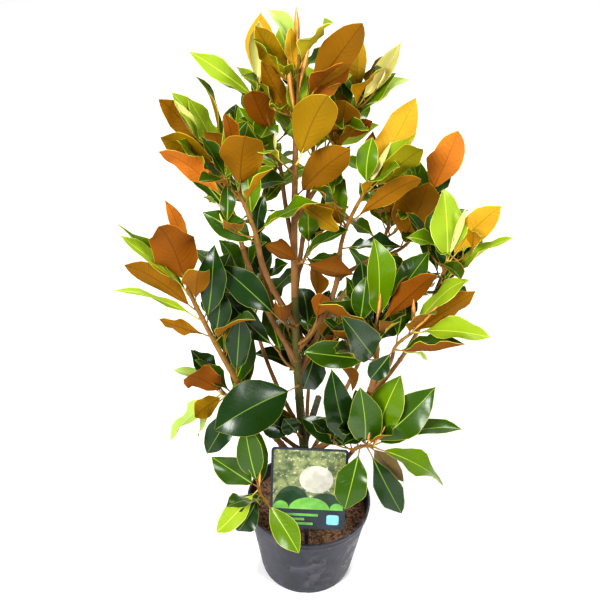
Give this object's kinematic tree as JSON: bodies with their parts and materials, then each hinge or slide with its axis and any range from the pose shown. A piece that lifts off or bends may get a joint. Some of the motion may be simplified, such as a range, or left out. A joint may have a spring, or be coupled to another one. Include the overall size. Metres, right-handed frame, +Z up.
{
  "type": "potted magnolia tree",
  "caption": "Young evergreen magnolia in a plain round nursery pot, with upright leafy shoots on a slender leaning trunk and a small unlettered picture card.",
  "frame": {"origin": "middle of the pot's flat underside, on the floor", "axes": "+Z up along the pot's axis, -Y towards the card at the front, +X to the right seen from the front"},
  "size_m": [0.5436, 0.396, 1.0399],
  "materials": {
    "pot_plastic": "matte",
    "soil": "matte",
    "card": "satin",
    "card_holder": "satin",
    "bark": "matte",
    "leaves_young": "satin",
    "leaves_fresh": "satin",
    "leaves_full": "satin",
    "leaves_old": "satin"
  },
  "bodies": {
    "root": {"pot": "pot_plastic", "soil": "soil", "label_card": "card", "label_holder": "card_holder", "trunk": "bark", "bough_left_low": "bark", "bough_upper_left": "bark", "bough_inner_left": "bark", "bough_high_left": "bark", "bough_high_right": "bark", "bough_right": "bark", "bough_far_right": "bark", "bough_front_right": "bark", "bough_front_right_low": "bark", "bough_right_tip": "bark", "bough_low_right": "bark", "bough_low_left": "bark", "bough_low_side": "bark", "bough_back_top": "bark", "bough_back_left": "bark", "bough_back_right": "bark", "bough_back_low_left": "bark", "bough_back_low_right": "bark", "bough_back_low": "bark", "cut_stub": "bark", "leaves_upper_left": "leaves_full", "leaves_inner_left": "leaves_fresh", "leaves_high_left": "leaves_fresh", "leaves_leader": "leaves_young", "leaves_upper_right": "leaves_young", "leaves_high_right": "leaves_fresh", "leaves_gold_front": "leaves_young", "leaves_right": "leaves_fresh", "leaves_far_right": "leaves_fresh", "leaves_right_tip": "leaves_full", "leaves_front_right": "leaves_old", "leaves_front_right_low": "leaves_full", "leaves_low_right": "leaves_full", "leaves_low_left": "leaves_full", "leaves_low_side": "leaves_full", "leaves_left": "leaves_full", "leaves_inner_front_left": "leaves_young", "leaves_middle_front": "leaves_young", "leaves_middle_right": "leaves_young", "leaves_middle_back": "leaves_full", "leaves_low_behind": "leaves_old", "leaves_big_dark": "leaves_old", "leaves_middle_left": "leaves_old", "leaves_foot": "leaves_young", "leaves_back_top": "leaves_young", "leaves_back_left": "leaves_fresh", "leaves_back_right": "leaves_fresh", "leaves_back_low_left": "leaves_full", "leaves_back_low_right": "leaves_full", "leaves_back_low": "leaves_old"}
  },
  "joints": []
}
